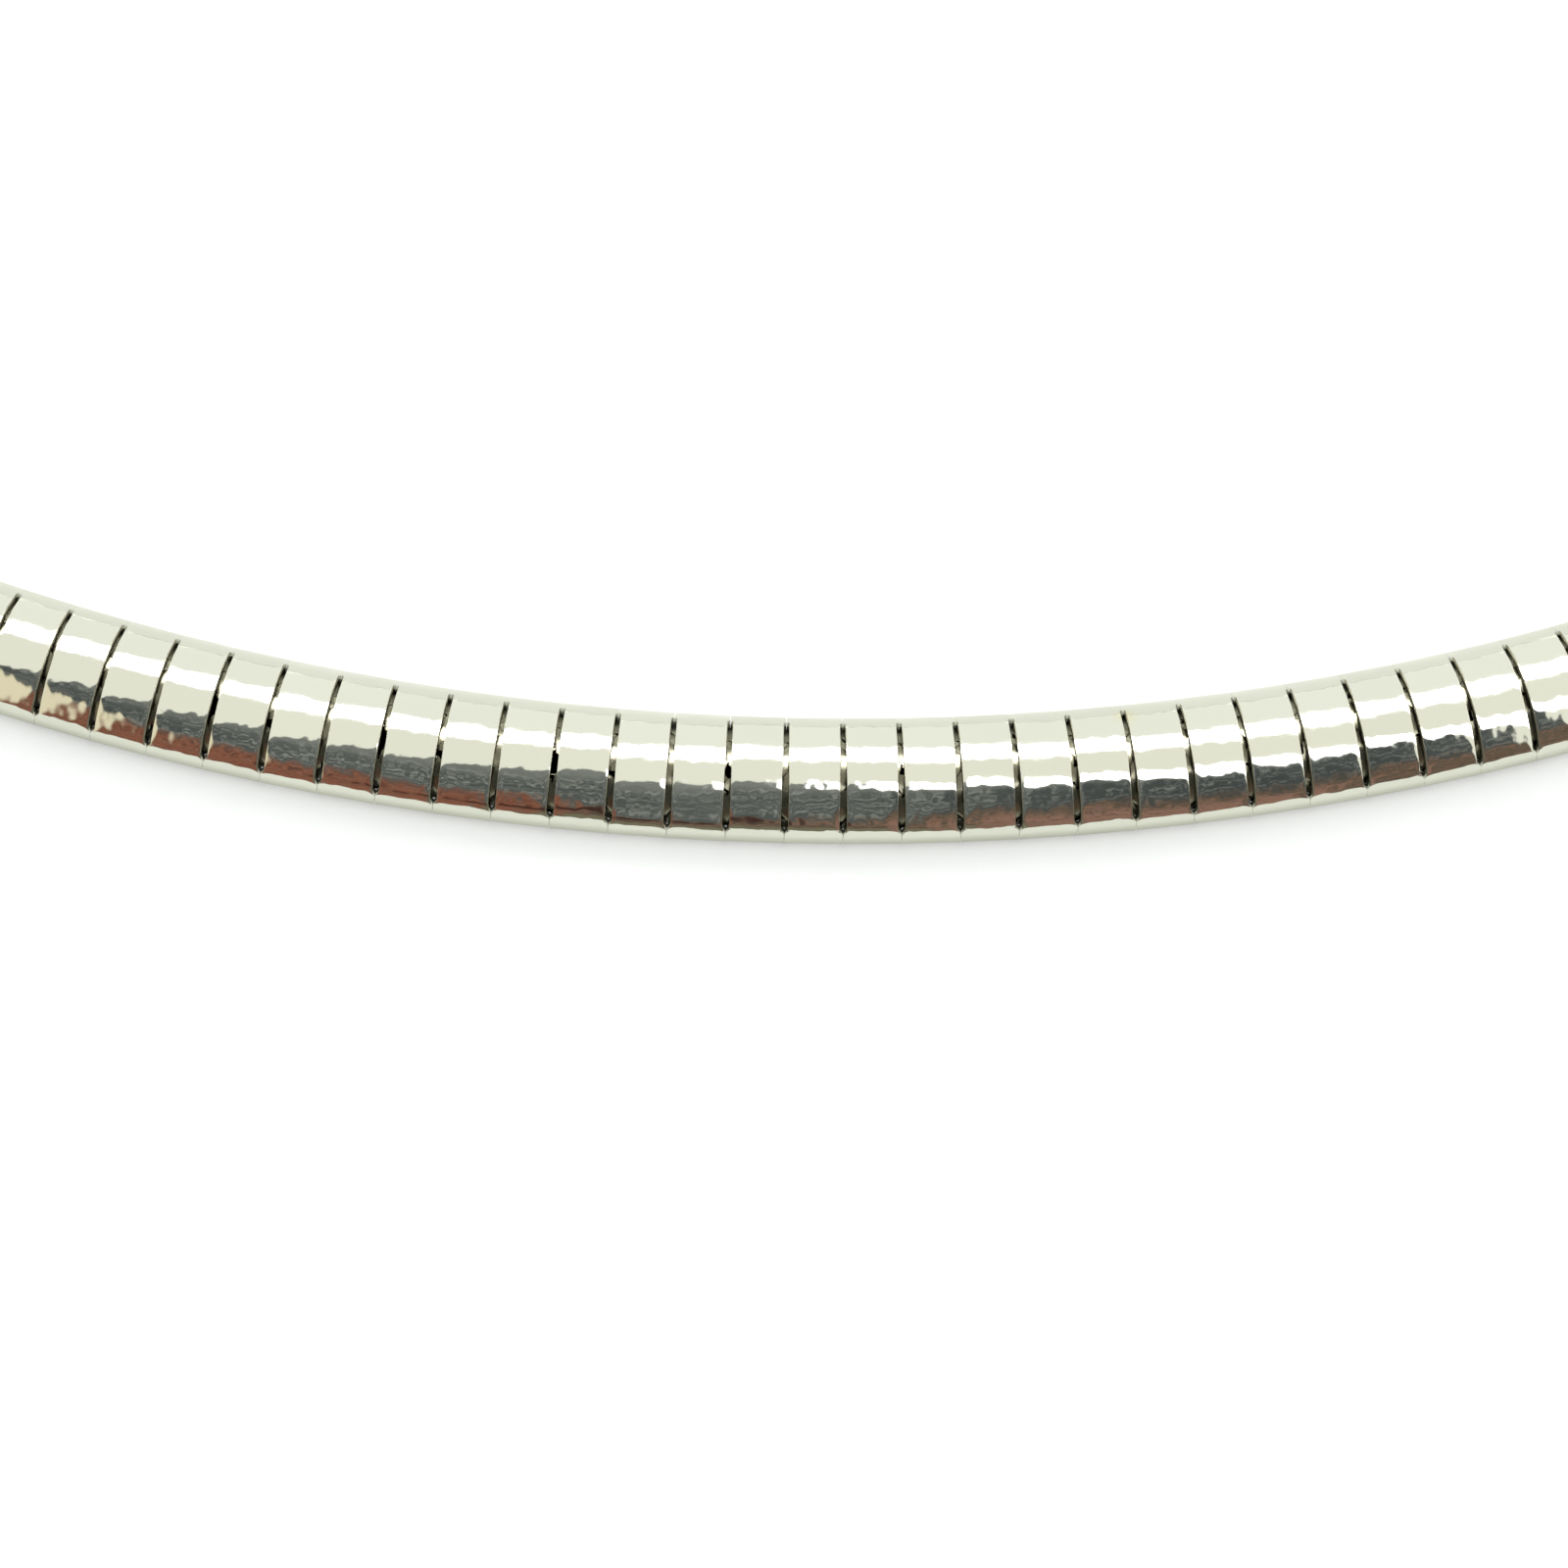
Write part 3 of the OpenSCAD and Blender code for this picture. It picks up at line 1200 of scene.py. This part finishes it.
@dataclass(frozen=True)
class StudioSky:
    """Soft studio light as a sky, with the bands that polished metal mirrors.

    Matt surfaces are lit by a plain pale sky with one brighter strip behind the
    necklace, and the camera sees a plain backdrop. Polished metal mirrors a ceiling, a
    bright strip in a soft glow, a lamp on the right and the dark room.
    """

    backdrop: Colour = (0.93, 0.93, 0.92)
    soft: Colour = (1.02, 1.05, 1.03)
    key: Pair = (-47.0, -36.0)
    key_power: float = 2.4
    ceiling: Colour = (1.06, 1.07, 0.99)
    near_ceiling: Colour = (1.01, 1.005, 0.90)
    near_turns: Pair = (-30, -5)
    strip: Pair = (-37.8, -14.2)
    strip_power: float = 14.0
    strip_glow: Colour = (1.32, 1.32, 1.24)
    glow_width: float = 2.2
    edge: float = 1.5
    lamp: Pair = (18.5, 30.4)
    lamp_bend: Triple = (14.0, 12.0, 25.0)
    lamp_drift: float = 0.05
    lamp_edge: Pair = (-0.01, 0.01)
    lamp_power: float = 5.0
    room: DarkRoom = DarkRoom()

    def build(self) -> None:
        """Makes the world."""
        world = bpy.data.worlds.new("studio_sky")
        bpy.context.scene.world = world
        world.use_nodes = True
        graph = Graph(world.node_tree)
        vector = graph.out(graph.node("ShaderNodeTexCoord"), "Generated")
        parts = graph.node("ShaderNodeSeparateXYZ", {}, {0: vector})
        drift, depth, rise = (graph.out(parts, k) for k in range(3))
        turn = (-depth).angle_over(rise) * math.degrees(1)
        path = graph.node("ShaderNodeLightPath")
        sky = graph.layered(
            self.soft,
            (turn.band(*self.key, self.edge), (self.key_power,) * 3),
            (graph.out(path, "Is Glossy Ray"), self._mirrored(SkyRay(graph, vector, turn, drift))),
            (graph.out(path, "Is Camera Ray"), self.backdrop))
        glow = graph.node("ShaderNodeBackground", {}, {"Color": sky})
        graph.node("ShaderNodeOutputWorld", {}, {"Surface": graph.out(glow)})

    def _mirrored(self, ray: SkyRay) -> Socket:
        """Sky that polished metal mirrors.

        Args:
            ray: direction.

        Returns:
            The colour.
        """
        graph, turn = ray.graph, ray.turn
        out = ray.drift - self.lamp_drift
        low = turn - self.lamp_bend[0] * out
        high = turn - self.lamp_bend[1] * out - self.lamp_bend[2] * out * out
        lit = low.step(self.lamp[0] - 1, self.lamp[0] + 1)
        lit = lit * high.step(self.lamp[1] + self.edge, self.lamp[1] - self.edge)
        near, far = self.strip[0] - self.glow_width, self.strip[1] + self.glow_width
        return graph.layered(
            self.ceiling,
            (turn.step(*self.near_turns), self.near_ceiling),
            self.room.layer(ray),
            (lit * out.step(*self.lamp_edge), (self.lamp_power,) * 3),
            (turn.band(near, far, 2.0 * self.glow_width), self.strip_glow),
            (turn.band(*self.strip, self.edge), (self.strip_power,) * 3))


@dataclass(frozen=True)
class Floor:
    """Plain pale surface that the necklace lies on, greyer away from its front as painted shade.

    It glows weakly, which keeps the contact shadow pale, and polished metal mirrors it
    in one warm tone, a painted reflection.
    """

    half_size: float = 3.0
    level: float = -0.00001
    colour: Colour = (0.70, 0.70, 0.70)
    grey: Colour = (0.36, 0.36, 0.36)
    mirrored: Colour = (0.63, 0.63, 0.57)
    glow: float = 0.25
    roughness: float = 0.9
    middle: Triple = (0.001, -0.0685, 0.0)
    fall: Pair = (0.038, 0.16)

    def build(self) -> bpy.types.Object:
        """Makes the floor as a square.

        Returns:
            The floor.
        """
        x, y = np.meshgrid([-self.half_size, self.half_size], [-self.half_size, self.half_size])
        points = np.stack([x.ravel(), y.ravel(), np.full(4, self.level)], axis=1)
        piece = Mesh(points=points, faces=[np.array([[0, 1, 3, 2]])]).build("floor")
        material = bpy.data.materials.new("pale_surface")
        material.use_nodes = True
        graph = Graph(material.node_tree)
        place = graph.out(graph.node("ShaderNodeTexCoord"), "Object")
        # Painted shade: the floor greys away from the necklace's front, as light falling off.
        far = graph.distance(place, self.middle).step(*self.fall)
        # Painted reflection: polished metal sees the floor in one warm tone instead of its own
        # colour and grey.
        glossy = graph.out(graph.node("ShaderNodeLightPath"), "Is Glossy Ray")
        shade = graph.layered(self.colour, (far, self.grey), (glossy, self.mirrored))
        surface = graph.node("ShaderNodeBsdfPrincipled", {}, {
            "Base Color": shade, "Roughness": self.roughness, "Specular IOR Level": 0.0,
            "Emission Color": (1.0, 1.0, 1.0), "Emission Strength": self.glow})
        graph.node("ShaderNodeOutputMaterial", {}, {"Surface": graph.out(surface)})
        piece.data.materials.append(material)
        return piece


@dataclass(frozen=True)
class Viewpoint:
    """Camera above and in front of the necklace's front, as in the photograph."""

    elevation: float = math.radians(57.5)
    azimuth: float = 0.0063
    roll: float = 0.0392
    distance: float = 600 * MM
    aim: Triple = (1.194 * MM, -68.532 * MM, 0.0)
    frame_pixels: int = 1600
    pixels_a_mm: float = 35.2247
    sensor: float = 36.0

    def build(self) -> bpy.types.Object:
        """Makes the scene's camera.

        The camera looks at the aim from its elevation, is turned with the aim about Z
        by the azimuth, and is rolled about its own axis.

        Returns:
            The camera.
        """
        data = bpy.data.cameras.new("viewpoint")
        data.sensor_width = self.sensor
        data.lens = self.sensor * self.distance / (self.frame_pixels / self.pixels_a_mm * MM)
        back = Vector((0, -math.cos(self.elevation), math.sin(self.elevation)))
        look = (-back).to_track_quat("-Z", "Y").to_matrix().to_4x4()
        place = Matrix.Translation(Vector(self.aim) + back * self.distance)
        camera = bpy.data.objects.new("viewpoint", data)
        bpy.context.scene.collection.objects.link(camera)
        swing = Matrix.Rotation(self.azimuth, 4, "Z")
        camera.matrix_world = swing @ place @ look @ Matrix.Rotation(self.roll, 4, "Z")
        bpy.context.scene.camera = camera
        return camera


def dress_necklace() -> list[bpy.types.Object]:
    """Builds every piece of the necklace in order.

    Returns:
        The pieces.
    """
    section = BandSection()
    loop = Loop.from_frame(section)
    log.info("loop radius %.3f mm, %d plates a side", loop.radius / MM, loop.plates_per_side)
    pieces = [PlateRow(side, section, loop).dress() for side in Side]
    pieces += [WovenCore(side, section, loop).dress() for side in Side]
    pieces.append(Clasp(section, loop).dress())
    return pieces


def main() -> None:
    """Builds the stage and the necklace."""
    logging.basicConfig(level=logging.INFO, format="%(name)s: %(message)s")
    Viewpoint().build()
    StudioSky().build()
    Floor().build()
    dress_necklace()
    bpy.context.scene.view_settings.view_transform = "Standard"


if __name__ == "__main__":
    main()
